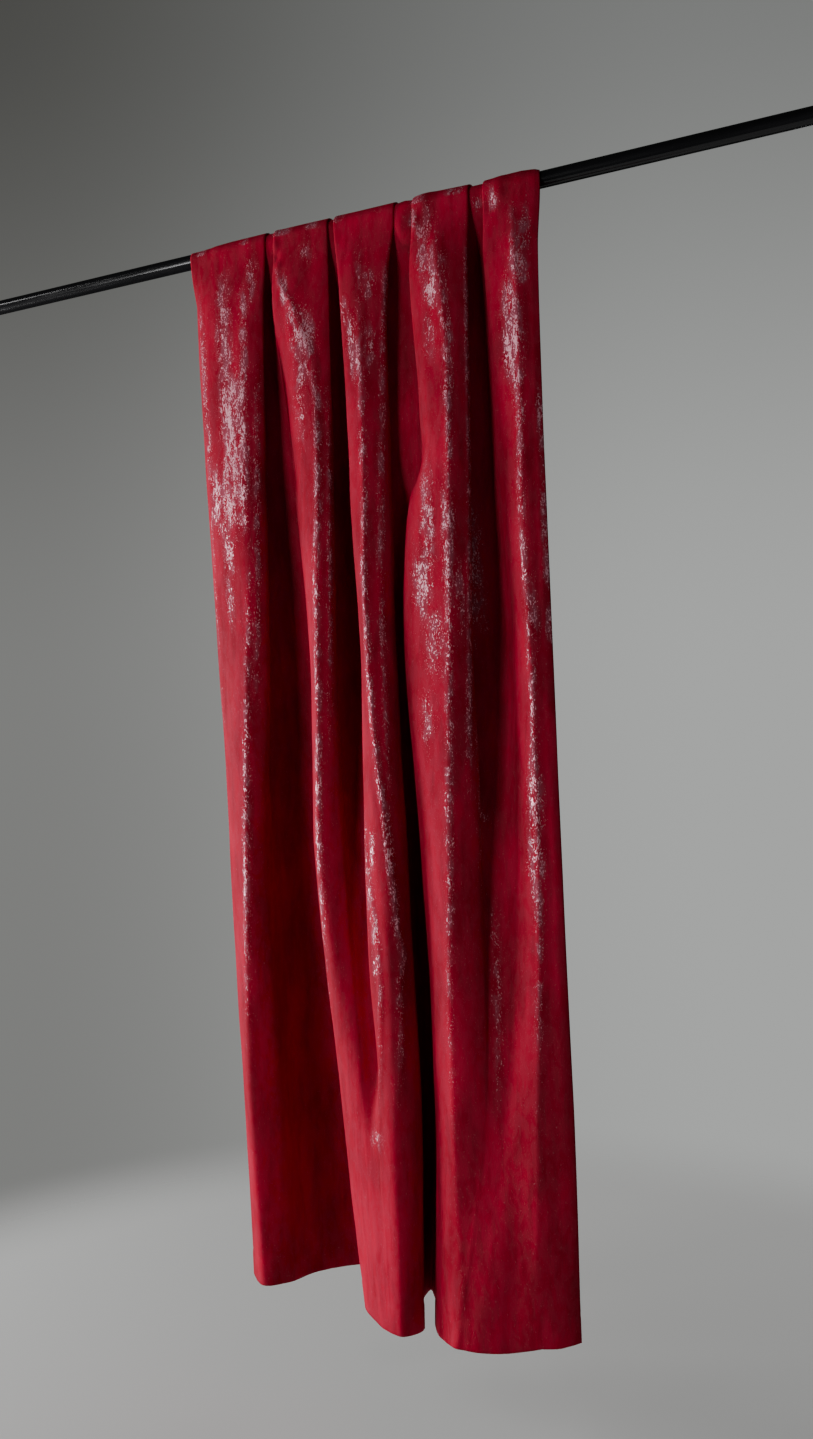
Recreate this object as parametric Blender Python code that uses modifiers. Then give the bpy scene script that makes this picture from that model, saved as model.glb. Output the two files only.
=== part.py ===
"""A velvet drape hung over a round rod: one folded sheet and the rod under it.

Metres, +Z up. X runs along the rod, -Y is the front, and the origin is on the rod's axis at
the middle of the rod. The tables below are in millimetres: "across" is the distance to the
right of the middle, "out" is the distance in front of the rod's axis (behind it where it is
negative), and "down" is the depth below the rod's axis.
"""

import math

import bmesh
import bpy

MM = 0.001

# Rod.
ROD_DIAMETER = 0.0269
ROD_LENGTH = 1.80
ROD_FACETS = 48

# Sheet.
SHEET_THICKNESS = 0.0014
ROD_CLEARANCE = 0.001

# Pleats flattened on the rod: three layers of cloth lie on each other beside each valley.
LAYER_PITCH = 1.9
BEND_REACH = 2.0

# Downward rows of the mesh: heights in millimetres below the axis of the rod.
FRONT_ROWS = (
    *(0, 35, 75, 120, 190, 280, 400, 450, 500, 570, 655, 750),
    *(865, 980, 1100, 1230, 1365, 1500, 1640, 1770, 1886),
)
BACK_ROWS = (0, 55, 120, 270, 450, 650, 850)
ARC_STEPS = 6

# Steps of the mesh across each stretch of the section.
BORDER_STEPS, FACE_STEPS, WALL_STEPS, FLOOR_STEPS = 2, 3, 3, 2

# Front of the drape, one row for each fold at each depth. On the rod (down 0) "out" is the
# height of the cloth above its lowest layer.
#   down  left  crown  right   left_out crown_out right_out
FIRST_FOLD = (
    (0, -322, -250, -175, 0, 3.8, 4.1),
    (120, -329, -228, -180, 18, 31, 25),
    (400, -331, -224, -193, 8, 38, 20),
    (500, -331, -227, -197, 4, 38, 19),
    (750, -330, -240, -207, -5, 36, 16),
    (1100, -332, -266, -237, -18, 28, 6),
    (1500, -338, -291, -246, -38, 14, -12),
    (1886, -345, -287, -252, -54, 2, -30),
)
SECOND_FOLD = (
    (0, -156, -110, -46, 4.3, 4.4, 3.9),
    (120, -160, -110, -44, 25, 33, 24),
    (400, -134, -74, -48, 26, 42, 29),
    (500, -132, -73, -50, 26, 45, 31),
    (750, -112, -84, -56, 26, 52, 35),
    (1100, -123, -92, -56, 22, 56, 42),
    (1500, -97, -66, -32, 18, 48, 62),
    (1886, -68, -38, -4, 16, 46, 74),
)
THIRD_FOLD = (
    (0, -32, 12, 86, 4.6, 4.1, 4.1),
    (120, -20, 15, 70, 28, 35, 25),
    (400, -12, 24, 64, 35, 47, 29),
    (500, -12, 24, 64, 38, 52, 32),
    (750, 0, 24, 63, 46, 63, 40),
    (1100, -2, 50, 74, 60, 79, 54),
    (1500, 12, 52, 81, 80, 92, 60),
    (1886, 26, 50, 69, 91, 96, 62),
)
FOURTH_FOLD = (
    (0, 122, 152, 225, 4.3, 6, 4.1),
    (120, 117, 174, 224, 29, 41, 30),
    (400, 127, 190, 218, 35, 57, 42),
    (500, 99, 188, 217, 36, 62, 46),
    (750, 81, 182, 213, 38, 73, 54),
    (1100, 97, 170, 214, 43, 87, 66),
    (1500, 104, 158, 208, 46, 93, 83),
    (1886, 79, 110, 148, 36, 75, 101),
)
FIFTH_FOLD = (
    (0, 252, 304, 336, 4.1, 5.6, 4.2),
    (120, 252, 312, 337, 26, 38, 33),
    (400, 262, 314, 335, 26, 51, 45),
    (500, 267, 315, 336, 29, 56, 49),
    (750, 280, 320, 338, 40, 68, 57),
    (1100, 280, 318, 339, 60, 79, 65),
    (1500, 268, 304, 335, 82, 88, 68),
    (1886, 236, 292, 321, 90, 82, 66),
)

# Valleys between the folds: the floor, and how far the walls are tucked in under the folds
# on either side (negative where they flare instead).
#   down  across  out  tuck_left  tuck_right
FIRST_VALLEY = (
    (0, -166, 0, 45, 45),
    (120, -171, 5, 46, 44),
    (400, -166, -16, 50, 40),
    (500, -165, -23, 46, 36),
    (750, -164, -42, 30, 24),
    (1100, -180, -74, 6, 14),
    (1500, -172, -114, -10, -12),
    (1886, -152, -156, -22, -38),
)
SECOND_VALLEY = (
    (0, -39, 0, 45, 45),
    (120, -35, 5, 44, 42),
    (400, -30, -14, 40, 36),
    (500, -29, -17, 36, 34),
    (750, -28, -16, 22, 26),
    (1100, -29, 16, -4, -4),
    (1500, -10, 66, -9, -8),
    (1886, 11, 84, -6, -8),
)
THIRD_VALLEY = (
    (0, 104, 0, 42, 38),
    (120, 96, 4, 38, 20),
    (400, 97, 12, 18, -6),
    (500, 88, 2, 20, 4),
    (750, 74, -28, 32, 22),
    (1100, 68, -60, 44, 26),
    (1500, 46, -82, 50, 4),
    (1886, 5, -94, 48, -28),
)
FOURTH_VALLEY = (
    (0, 240, 0, 45, 45),
    (120, 236, 6, 44, 12),
    (400, 234, 2, 46, -8),
    (500, 237, 2, 44, -10),
    (750, 246, 6, 34, -10),
    (1100, 248, 42, 2, -10),
    (1500, 242, 76, -8, -11),
    (1886, 190, 102, -14, -14),
)

# Side borders: the left one turns back behind the first fold.
#   down  across  out
LEFT_BORDER = (
    (0, -340, 0),
    (120, -331, 8),
    (400, -324, -14),
    (500, -322, -20),
    (750, -317, -34),
    (1100, -314, -52),
    (1500, -321, -74),
    (1886, -327, -88),
)
RIGHT_BORDER = (
    (0, 352, 0),
    (120, 349, 29),
    (400, 348, 39),
    (500, 348, 41),
    (750, 349, 46),
    (1100, 351, 53),
    (1500, 348, 52),
    (1886, 344, 45),
)

# How much higher the front hem hangs than FRONT_DROP, where the cloth is drawn up a little.
#   across  rise
HEM_RISE = ((-360, 0), (200, 0), (236, 1), (273, 10), (292, 15), (321, 17), (344, 19))

# Back of the drape, with "out" measured behind the rod's axis. It hangs clear of the front.
BACK_FOLDS = (
    (
        (0, -322, -250, -175, 0, 3.8, 4.1),
        (120, -322, -250, -177, 28, 40, 36),
        (850, -322, -262, -205, 78, 118, 84),
    ),
    (
        (0, -156, -110, -46, 4.3, 4.4, 3.9),
        (120, -154, -108, -50, 36, 44, 36),
        (850, -148, -112, -78, 88, 124, 88),
    ),
    (
        (0, -32, 12, 86, 4.6, 4.1, 4.1),
        (120, -28, 20, 82, 36, 44, 36),
        (850, -26, 16, 58, 88, 128, 88),
    ),
    (
        (0, 122, 152, 225, 4.3, 6, 4.1),
        (120, 118, 160, 214, 36, 44, 36),
        (850, 104, 142, 178, 88, 122, 88),
    ),
    (
        (0, 248, 292, 316, 4.1, 5.6, 4.2),
        (120, 242, 288, 308, 36, 44, 34),
        (850, 222, 258, 282, 84, 114, 88),
    ),
)
BACK_VALLEYS = (
    ((0, -166, 0, 45, 45), (120, -166, 22, 38, 38), (850, -176, 60, 34, 24)),
    ((0, -39, 0, 45, 45), (120, -39, 22, 38, 38), (850, -52, 60, 24, 30)),
    ((0, 104, 0, 42, 38), (120, 100, 22, 38, 36), (850, 81, 60, 30, 28)),
    ((0, 240, 0, 45, 45), (120, 228, 22, 38, 36), (850, 200, 60, 28, 24)),
)
BACK_LEFT_BORDER = ((0, -340, 0), (120, -336, 22), (850, -330, 58))
BACK_RIGHT_BORDER = ((0, 332, 0), (120, 320, 26), (850, 292, 66))


def make_material(name, colour, roughness, metallic):
    material = bpy.data.materials.new(name)
    material.use_nodes = True
    shader = material.node_tree.nodes["Principled BSDF"]
    shader.inputs["Base Color"].default_value = (*colour, 1.0)
    shader.inputs["Roughness"].default_value = roughness
    shader.inputs["Metallic"].default_value = metallic
    return material


def velvet_material():
    return make_material("red_velvet", (0.33, 0.012, 0.028), 0.45, 0.0)


def rod_material():
    return make_material("black_rod", (0.012, 0.012, 0.013), 0.3, 0.0)


def tucked_points(before, floor, after, tuck_left, tuck_right):
    """Wall and floor points of a valley between two fold edges."""
    wall_left = (before[0] - tuck_left, 0.5 * (before[1] + floor[1]))
    wall_right = (after[0] + tuck_right, 0.5 * (after[1] + floor[1]))
    return [wall_left, floor, wall_right]


def hanging_guides(folds, valleys, left_border, right_border, level):
    """Guide points of the section at one depth, from the left border to the right one."""
    guides = [left_border[level][1:]]
    for number, fold in enumerate(folds):
        left, crown, right, left_out, crown_out, right_out = fold[level][1:]
        guides += [(left, left_out), (crown, crown_out), (right, right_out)]
        if number < len(valleys):
            across, out, tuck_left, tuck_right = valleys[number][level][1:]
            following = folds[number + 1][level]
            edge = (following[1], following[4])
            guides += tucked_points((right, right_out), (across, out), edge, tuck_left, tuck_right)
    guides.append(right_border[level][1:])
    return guides


def step_counts(valley_count):
    """Mesh steps from each guide point to the next."""
    steps = [BORDER_STEPS, FACE_STEPS, FACE_STEPS]
    for _ in range(valley_count):
        steps += [WALL_STEPS, FLOOR_STEPS, FLOOR_STEPS, WALL_STEPS, FACE_STEPS, FACE_STEPS]
    return steps + [BORDER_STEPS]


def curve_through(guides, steps):
    """A smooth curve through the guide points, sampled evenly between each two."""
    ends = [
        tuple(2 * a - b for a, b in zip(guides[0], guides[1])),
        tuple(2 * a - b for a, b in zip(guides[-1], guides[-2])),
    ]
    padded = [ends[0], *guides, ends[1]]
    sampled = []
    for number, count in enumerate(steps):
        p0, p1, p2, p3 = padded[number : number + 4]
        knots = [0.0]
        for a, b in ((p0, p1), (p1, p2), (p2, p3)):
            knots.append(knots[-1] + math.sqrt(max(math.dist(a, b), 0.01)))
        span = knots[2] - knots[1]
        tangents = []
        for a, b, c, ka, kb, kc in (
            (p0, p1, p2, *knots[0:3]),
            (p1, p2, p3, *knots[1:4]),
        ):
            tangents.append(
                [
                    span * ((y - x) / (kb - ka) - (z - x) / (kc - ka) + (z - y) / (kc - kb))
                    for x, y, z in zip(a, b, c)
                ]
            )
        for step in range(count):
            t = step / count
            sampled.append(
                tuple(
                    (2 * t**3 - 3 * t**2 + 1) * p1[k]
                    + (t**3 - 2 * t**2 + t) * tangents[0][k]
                    + (3 * t**2 - 2 * t**3) * p2[k]
                    + (t**3 - t**2) * tangents[1][k]
                    for k in range(2)
                )
            )
    return sampled + [tuple(guides[-1])]


def rod_section(folds, valleys, left_border, right_border):
    """The section where the pleats lie flat on the rod, with the same steps as curve_through."""
    middle, half = LAYER_PITCH, 0.5 * LAYER_PITCH
    start, end = left_border[0], right_border[0]
    section = []
    for number, fold in enumerate(folds):
        left, crown, right, left_out, crown_out, right_out = fold[0][1:]
        if number == 0:
            gap = (left - start[1]) / BORDER_STEPS
            section += [(start[1] + gap * k, 0.0) for k in range(BORDER_STEPS)]
            section += [(left, left_out), (left + 20, 1.4), (left + 44, 3.6)]
        else:
            section += [(left, left_out - half), (left + BEND_REACH, left_out)]
            section.append((0.5 * (left + crown), crown_out))
        section += [(crown, crown_out), (0.5 * (crown + right), crown_out)]
        if number == len(valleys):
            section += [(right - 4, right_out), (right, right_out)]
            section += [(0.5 * (right + end[1]), 3.0), (end[1], end[2])]
            break
        section += [(right - BEND_REACH, right_out), (right, right_out - half)]
        across, out, tuck_left, tuck_right = valleys[number][0][1:]
        next_left = folds[number + 1][0][1]
        tip_left, tip_right = right - tuck_left, next_left + tuck_right
        section += [(right - BEND_REACH, middle), (tip_left + BEND_REACH, middle), (tip_left, half)]
        section += [(tip_left + BEND_REACH, out), (across, out), (tip_right - BEND_REACH, out)]
        section += [(tip_right, half), (tip_right - BEND_REACH, middle)]
        section.append((next_left + BEND_REACH, middle))
    return section


def between_levels(levels, sections, down):
    """The section at one depth, eased from the sections given above and below it."""
    last = len(levels) - 1
    number = min(sum(down >= level for level in levels) - 1, last - 1)
    height = levels[number + 1] - levels[number]
    t = (down - levels[number]) / height

    def slope(at, column, k):
        if at == 0:
            return 0.0
        above, below = at - 1, min(at + 1, last)
        rise = sections[below][column][k] - sections[above][column][k]
        return rise / (levels[below] - levels[above])

    return [
        tuple(
            (2 * t**3 - 3 * t**2 + 1) * sections[number][column][k]
            + (t**3 - 2 * t**2 + t) * height * slope(number, column, k)
            + (3 * t**2 - 2 * t**3) * sections[number + 1][column][k]
            + (t**3 - t**2) * height * slope(number + 1, column, k)
            for k in range(2)
        )
        for column in range(len(sections[0]))
    ]


def hem_rise(across):
    """How far the front hem is drawn up at this distance from the middle."""
    for (start, low), (end, high) in zip(HEM_RISE, HEM_RISE[1:]):
        if across <= end:
            return low + (high - low) * max(across - start, 0.0) / (end - start)
    return HEM_RISE[-1][1]


def panel_rows(folds, valleys, left_border, right_border, rows, side):
    """Rows of points down one side of the drape. side is -1 for the front and 1 for the back."""
    seat = (ROD_DIAMETER / 2 + ROD_CLEARANCE + SHEET_THICKNESS / 2) / MM
    on_rod = [(x, seat + lift) for x, lift in rod_section(folds, valleys, left_border, right_border)]
    levels = [row[0] for row in left_border]
    steps = step_counts(len(valleys))
    sections = [on_rod] + [
        curve_through(hanging_guides(folds, valleys, left_border, right_border, level), steps)
        for level in range(1, len(levels))
    ]
    rises = [hem_rise(x) if side < 0 else 0.0 for x, _ in sections[-1]]
    panel = []
    for down in rows:
        share = (down / levels[-1]) ** 2
        section = between_levels(levels, sections, down)
        panel.append(
            [
                (x * MM, side * out * MM, (rise * share - down) * MM)
                for (x, out), rise in zip(section, rises)
            ]
        )
    return panel


def over_rod(back, front, share):
    """One row of points on the way over the rod, where share runs from 0 at the back to 1."""
    turn = math.pi * share
    drift = math.sin(turn / 2)
    return [
        (
            b[0] + (f[0] - b[0]) * drift,
            (b[1] + (-f[1] - b[1]) * share) * math.cos(turn),
            (b[1] + (-f[1] - b[1]) * share) * math.sin(turn),
        )
        for b, f in zip(back, front)
    ]


def sheet_rows():
    """All rows of the sheet: up the back, over the rod and down the front."""
    front = panel_rows(
        (FIRST_FOLD, SECOND_FOLD, THIRD_FOLD, FOURTH_FOLD, FIFTH_FOLD),
        (FIRST_VALLEY, SECOND_VALLEY, THIRD_VALLEY, FOURTH_VALLEY),
        LEFT_BORDER,
        RIGHT_BORDER,
        FRONT_ROWS,
        -1,
    )
    back = panel_rows(BACK_FOLDS, BACK_VALLEYS, BACK_LEFT_BORDER, BACK_RIGHT_BORDER, BACK_ROWS, 1)
    over = [over_rod(back[0], front[0], step / ARC_STEPS) for step in range(1, ARC_STEPS)]
    return back[::-1] + over + front


def build_drape(collection):
    rows = sheet_rows()
    mesh = bpy.data.meshes.new("drape")
    sheet = bmesh.new()
    grid = [[sheet.verts.new(point) for point in row] for row in rows]
    for above, below in zip(grid, grid[1:]):
        for k in range(len(above) - 1):
            sheet.faces.new((above[k], below[k], below[k + 1], above[k + 1]))
    sheet.to_mesh(mesh)
    sheet.free()
    drape = bpy.data.objects.new("drape", mesh)
    collection.objects.link(drape)
    drape.data.materials.append(velvet_material())
    shell = drape.modifiers.new("thickness", "SOLIDIFY")
    shell.thickness = SHEET_THICKNESS
    shell.offset = 0.0
    shell.use_even_offset = True
    return drape


def build_rod(collection):
    mesh = bpy.data.meshes.new("rod")
    cylinder = bmesh.new()
    rings = []
    for x in (-ROD_LENGTH / 2, ROD_LENGTH / 2):
        rings.append(
            [
                cylinder.verts.new(
                    (
                        x,
                        ROD_DIAMETER / 2 * math.cos(2 * math.pi * k / ROD_FACETS),
                        ROD_DIAMETER / 2 * math.sin(2 * math.pi * k / ROD_FACETS),
                    )
                )
                for k in range(ROD_FACETS)
            ]
        )
    for k in range(ROD_FACETS):
        following = (k + 1) % ROD_FACETS
        cylinder.faces.new((rings[0][k], rings[0][following], rings[1][following], rings[1][k]))
    cylinder.faces.new(rings[0][::-1])
    cylinder.faces.new(rings[1])
    bmesh.ops.recalc_face_normals(cylinder, faces=cylinder.faces)
    cylinder.to_mesh(mesh)
    cylinder.free()
    rod = bpy.data.objects.new("rod", mesh)
    collection.objects.link(rod)
    rod.data.materials.append(rod_material())
    return rod


def main():
    for obj in list(bpy.data.objects):
        bpy.data.objects.remove(obj, do_unlink=True)
    collection = bpy.data.collections.new("velvet_drape")
    bpy.context.scene.collection.children.link(collection)
    build_rod(collection)
    build_drape(collection)


main()
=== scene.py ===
"""A velvet drape over a round rod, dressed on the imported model.

Metres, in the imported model's frame: X runs along the rod, -Y is the front, +Z is up. The tables
are in millimetres: "across" is the distance to the right of the middle, "out" is the distance in
front of the rod's axis, and "down" is the depth below it.
"""

import math

import bpy
import numpy as np
from mathutils import Matrix, Vector, noise


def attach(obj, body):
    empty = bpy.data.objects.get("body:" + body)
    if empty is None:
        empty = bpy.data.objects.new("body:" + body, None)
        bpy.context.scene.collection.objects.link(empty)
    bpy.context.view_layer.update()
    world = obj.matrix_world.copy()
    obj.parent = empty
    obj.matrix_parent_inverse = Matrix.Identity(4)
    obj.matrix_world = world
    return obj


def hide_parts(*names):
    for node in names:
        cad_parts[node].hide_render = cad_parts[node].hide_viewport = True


MM = 0.001
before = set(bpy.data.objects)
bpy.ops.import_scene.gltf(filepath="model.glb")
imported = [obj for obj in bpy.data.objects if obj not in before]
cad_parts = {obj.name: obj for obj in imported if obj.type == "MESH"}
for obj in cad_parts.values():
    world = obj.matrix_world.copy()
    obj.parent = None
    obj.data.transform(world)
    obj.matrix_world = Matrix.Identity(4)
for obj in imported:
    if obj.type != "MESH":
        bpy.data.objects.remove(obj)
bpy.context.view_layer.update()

# Camera, at the photograph's place: metres and degrees in the model's frame.
CAMERA_PLACE = (1.1758, -2.1271, -0.8653)
CAMERA_YAW, CAMERA_PITCH, CAMERA_ROLL = 27.738, 0.042, -2.602
FOCAL_PIXELS, IMAGE_LONG_SIDE = 1400.0, 1439.0
SENSOR_LONG_SIDE_MM = 36.0
CLIP_START, CLIP_END = 0.05, 60

FLOOR_Z, FLOOR_RADIUS = -2.06, 3.0

# Rod and sheet.
ROD_RADIUS = 13.45
SHEET_THICKNESS = 1.2
ROD_CLEARANCE = 0.6
FLAT_WIDTH, FLAT_LENGTH = 1.40, 2.86
FRONT_DROP, BACK_DROP = 1886.0, 850.0
HEM_DEPTH, SIDE_HEM_WIDTH = 44.0, 14.0

# Pleats on the rod: the rise from a layer to the next, the reach and points of a half turn, and
# the heights at the outer edges of the first and last folds.
LAYER_PITCH = 1.8
BEND_REACH, BEND_POINTS = 2.0, 7
FIRST_EDGE_REACH, FIRST_EDGE_HEIGHT, FIRST_SHOULDER_SHARE = 24, 1.2, 0.7
LAST_EDGE_HEIGHT = 3.0

# Mesh steps. The hem's rows reach HEM_ROWS_REACH hem depths up, and the back's grow downwards.
TOP_ROWS, MIDDLE_ROWS, HEM_ROWS, BACK_ROWS, ARC_ROWS = 30, 118, 14, 28, 12
TOP_DEPTH = 150.0
HEM_ROWS_REACH, BACK_ROW_GROWTH = 1.5, 1.3
BORDER_STEPS, LEFT_FACE_STEPS, RIGHT_FACE_STEPS, WALL_STEPS, FLOOR_STEPS = 8, 14, 10, 7, 4

# Front of the drape, one row for each fold at each depth. On the rod (down 0) "out" is the
# height of the cloth above its lowest layer.
#   down  left  crown  right   left_out crown_out right_out
FIRST_FOLD = (
    (0, -322, -250, -175, 0, 3.8, 4.1),
    (120, -329, -228, -180, 18, 31, 25),
    (400, -331, -224, -193, 8, 38, 20),
    (500, -331, -227, -197, 4, 38, 19),
    (750, -330, -240, -207, -5, 36, 16),
    (1100, -332, -266, -237, -18, 28, 6),
    (1500, -338, -291, -246, -38, 14, -12),
    (1886, -345, -287, -252, -54, 2, -30),
)
SECOND_FOLD = (
    (0, -156, -110, -46, 4.3, 4.4, 3.9),
    (120, -160, -110, -44, 25, 33, 24),
    (400, -140, -74, -48, 15, 42, 29),
    (500, -138, -73, -50, 14, 45, 31),
    (750, -117, -84, -56, 16, 52, 35),
    (1100, -123, -92, -56, 22, 56, 42),
    (1500, -97, -66, -32, 18, 48, 62),
    (1886, -68, -38, -4, 16, 46, 74),
)
THIRD_FOLD = (
    (0, -32, 12, 86, 4.6, 4.1, 4.1),
    (120, -20, 15, 70, 28, 35, 25),
    (400, -12, 24, 64, 35, 47, 29),
    (500, -12, 24, 64, 38, 52, 32),
    (750, 0, 24, 63, 46, 63, 40),
    (1100, -2, 50, 74, 60, 79, 54),
    (1500, 12, 52, 81, 80, 92, 60),
    (1886, 26, 50, 69, 91, 96, 62),
)
FOURTH_FOLD = (
    (0, 122, 152, 225, 4.3, 6, 4.1),
    (120, 117, 174, 224, 29, 41, 30),
    (400, 127, 190, 218, 35, 57, 42),
    (500, 99, 188, 217, 36, 62, 46),
    (750, 81, 182, 213, 38, 73, 54),
    (1100, 97, 170, 214, 43, 87, 66),
    (1500, 104, 158, 208, 46, 93, 83),
    (1886, 79, 110, 148, 36, 75, 101),
)
FIFTH_FOLD = (
    (0, 252, 304, 336, 4.1, 5.6, 4.2),
    (120, 252, 312, 337, 26, 38, 33),
    (400, 262, 314, 337, 26, 51, 48),
    (500, 267, 315, 338, 29, 56, 53),
    (750, 280, 320, 342, 40, 68, 64),
    (1100, 280, 318, 343, 60, 79, 74),
    (1500, 268, 304, 339, 82, 88, 79),
    (1886, 236, 292, 323, 90, 82, 72),
)

# Valleys between the folds: the floor, and how far the walls are tucked in under the folds
# on either side (negative where they flare instead).
#   down  across  out  tuck_left  tuck_right
FIRST_VALLEY = (
    (0, -166, 0, 45, 45),
    (120, -171, 5, 46, 44),
    (400, -166, -16, 50, 40),
    (500, -165, -23, 46, 36),
    (750, -164, -42, 30, 24),
    (1100, -180, -74, 6, 14),
    (1500, -172, -114, -10, -12),
    (1886, -152, -156, -22, -38),
)
SECOND_VALLEY = (
    (0, -39, 0, 45, 45),
    (120, -35, 5, 44, 42),
    (400, -30, -14, 40, 36),
    (500, -29, -17, 36, 34),
    (750, -28, -16, 22, 26),
    (1100, -29, 16, -4, -4),
    (1500, -10, 66, -9, -8),
    (1886, 11, 84, -6, -8),
)
THIRD_VALLEY = (
    (0, 104, 0, 42, 38),
    (120, 96, 4, 38, 20),
    (400, 97, 12, 18, -6),
    (500, 88, 2, 20, 4),
    (750, 74, -28, 32, 22),
    (1100, 68, -60, 44, 26),
    (1500, 46, -82, 50, 4),
    (1886, 5, -94, 48, -28),
)
FOURTH_VALLEY = (
    (0, 240, 0, 45, 45),
    (120, 236, 6, 44, 12),
    (400, 234, 2, 46, -8),
    (500, 237, 2, 44, -10),
    (750, 246, 6, 34, -10),
    (1100, 248, 42, 2, -10),
    (1500, 242, 76, -8, -11),
    (1886, 190, 102, -14, -14),
)

# Side borders: the left one turns back behind the first fold.
#   down  across  out
LEFT_BORDER = (
    (0, -340, 0),
    (120, -331, 8),
    (400, -324, -14),
    (500, -322, -20),
    (750, -317, -34),
    (1100, -314, -52),
    (1500, -321, -74),
    (1886, -327, -88),
)
RIGHT_BORDER = (
    (0, 352, 0),
    (120, 349, 29),
    (400, 350, 43),
    (500, 351, 47),
    (750, 354, 57),
    (1100, 356, 66),
    (1500, 354, 66),
    (1886, 347, 51),
)

# How much higher the front hem hangs than FRONT_DROP, where the cloth is drawn up a little.
#   across  rise
HEM_RISE = ((-360, 0), (200, 0), (236, 1), (273, 10), (292, 15), (321, 17), (347, 22))

# Back of the drape, with "out" measured behind the rod's axis. It hangs clear of the front.
BACK_FOLDS = (
    (
        (0, -322, -250, -175, 0, 3.8, 4.1),
        (120, -322, -250, -177, 28, 40, 36),
        (850, -322, -262, -205, 78, 118, 84),
    ),
    (
        (0, -156, -110, -46, 4.3, 4.4, 3.9),
        (120, -154, -108, -50, 36, 44, 36),
        (850, -148, -112, -78, 88, 124, 88),
    ),
    (
        (0, -32, 12, 86, 4.6, 4.1, 4.1),
        (120, -28, 20, 82, 36, 44, 36),
        (850, -26, 16, 58, 88, 128, 88),
    ),
    (
        (0, 122, 152, 225, 4.3, 6, 4.1),
        (120, 118, 160, 214, 36, 44, 36),
        (850, 104, 142, 178, 88, 122, 88),
    ),
    (
        (0, 248, 292, 316, 4.1, 5.6, 4.2),
        (120, 242, 288, 308, 36, 44, 34),
        (850, 222, 258, 282, 84, 114, 88),
    ),
)
BACK_VALLEYS = (
    ((0, -166, 0, 45, 45), (120, -166, 22, 38, 38), (850, -176, 60, 34, 24)),
    ((0, -39, 0, 45, 45), (120, -39, 22, 38, 38), (850, -52, 60, 24, 30)),
    ((0, 104, 0, 42, 38), (120, 100, 22, 38, 36), (850, 81, 60, 30, 28)),
    ((0, 240, 0, 45, 45), (120, 228, 22, 38, 36), (850, 200, 60, 28, 24)),
)
BACK_LEFT_BORDER = ((0, -340, 0), (120, -336, 22), (850, -330, 58))
BACK_RIGHT_BORDER = ((0, 332, 0), (120, 320, 26), (850, 292, 66))

# Creases of the front, each on one fold or in one valley, with a row for each depth. "height" is
# how far the ridge stands out of the cloth and "half_width" how soft it is.
#   down  across  half_width  height
FIRST_FOLD_CREASES = (
    (
        (60, -322, 6, 0),
        (150, -318, 5, 1.2),
        (450, -319, 5, 1.2),
        (800, -319, 6, 0.8),
        (1000, -320, 6, 0),
    ),
    (
        (200, -196, 6, 0),
        (300, -199, 6, 1.8),
        (530, -210, 6, 2.0),
        (710, -220, 6, 1.6),
        (860, -232, 7, 0),
    ),
    (
        (500, -218, 7, 0),
        (620, -228, 7, 1.2),
        (820, -248, 7, 2.2),
        (1000, -260, 7, 2.4),
        (1290, -283, 8, 2.0),
        (1500, -290, 10, 0.8),
        (1700, -290, 10, 0),
    ),
)
SECOND_FOLD_CREASES = (
    (
        (45, -154, 5, 0),
        (87, -141, 5, 2.2),
        (119, -119, 5, 2.4),
        (157, -105, 6, 2),
        (195, -90, 7, 2),
        (232, -77, 7, 2),
        (300, -70, 7, 2.4),
        (410, -71, 6, 2.6),
        (510, -74, 6, 2.6),
        (580, -81, 7, 2.2),
        (740, -84, 7, 2.2),
        (890, -89, 7, 2.4),
        (1100, -96, 7, 2.4),
        (1220, -96, 7, 2),
        (1330, -101, 8, 1.0),
        (1450, -95, 9, 0),
    ),
    (
        (250, -51, 5, 0),
        (370, -52, 5, 1.6),
        (510, -55, 5, 1.8),
        (650, -60, 5, 1.8),
        (820, -66, 5, 1.4),
        (930, -70, 5, 0),
    ),
)
THIRD_FOLD_CREASES = (
    (
        (120, 18, 7, 0),
        (250, 23, 7, 1.8),
        (490, 22, 6, 2.4),
        (625, 18, 6, 2.6),
        (745, 23, 6, 2.4),
        (860, 29, 6, 2.6),
        (960, 40, 6, 2.8),
        (1060, 52, 6, 3),
        (1165, 59, 6, 3),
        (1230, 65, 6, 3),
        (1255, 70, 6, 3.2),
        (1290, 64, 6, 3),
        (1395, 64, 7, 2.6),
        (1480, 57, 7, 2),
        (1560, 44, 8, 0),
    ),
    (
        (40, 82, 5, 0),
        (100, 74, 5, 1.6),
        (150, 65, 5, 1.8),
        (320, 56, 5, 2),
        (490, 50, 5, 2),
        (660, 46, 5, 2),
        (830, 50, 5, 1.8),
        (930, 52, 5, 1.2),
        (1010, 54, 5, 0),
    ),
    (
        (980, -4, 6, 0),
        (1130, 4, 6, 1.8),
        (1165, 14, 6, 2),
        (1215, 22, 6, 2.2),
        (1250, 28, 6, 2.2),
        (1330, 29, 6, 2.4),
        (1430, 24, 7, 2.2),
        (1500, 10, 7, 1.6),
        (1570, -2, 8, 0),
    ),
)
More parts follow.
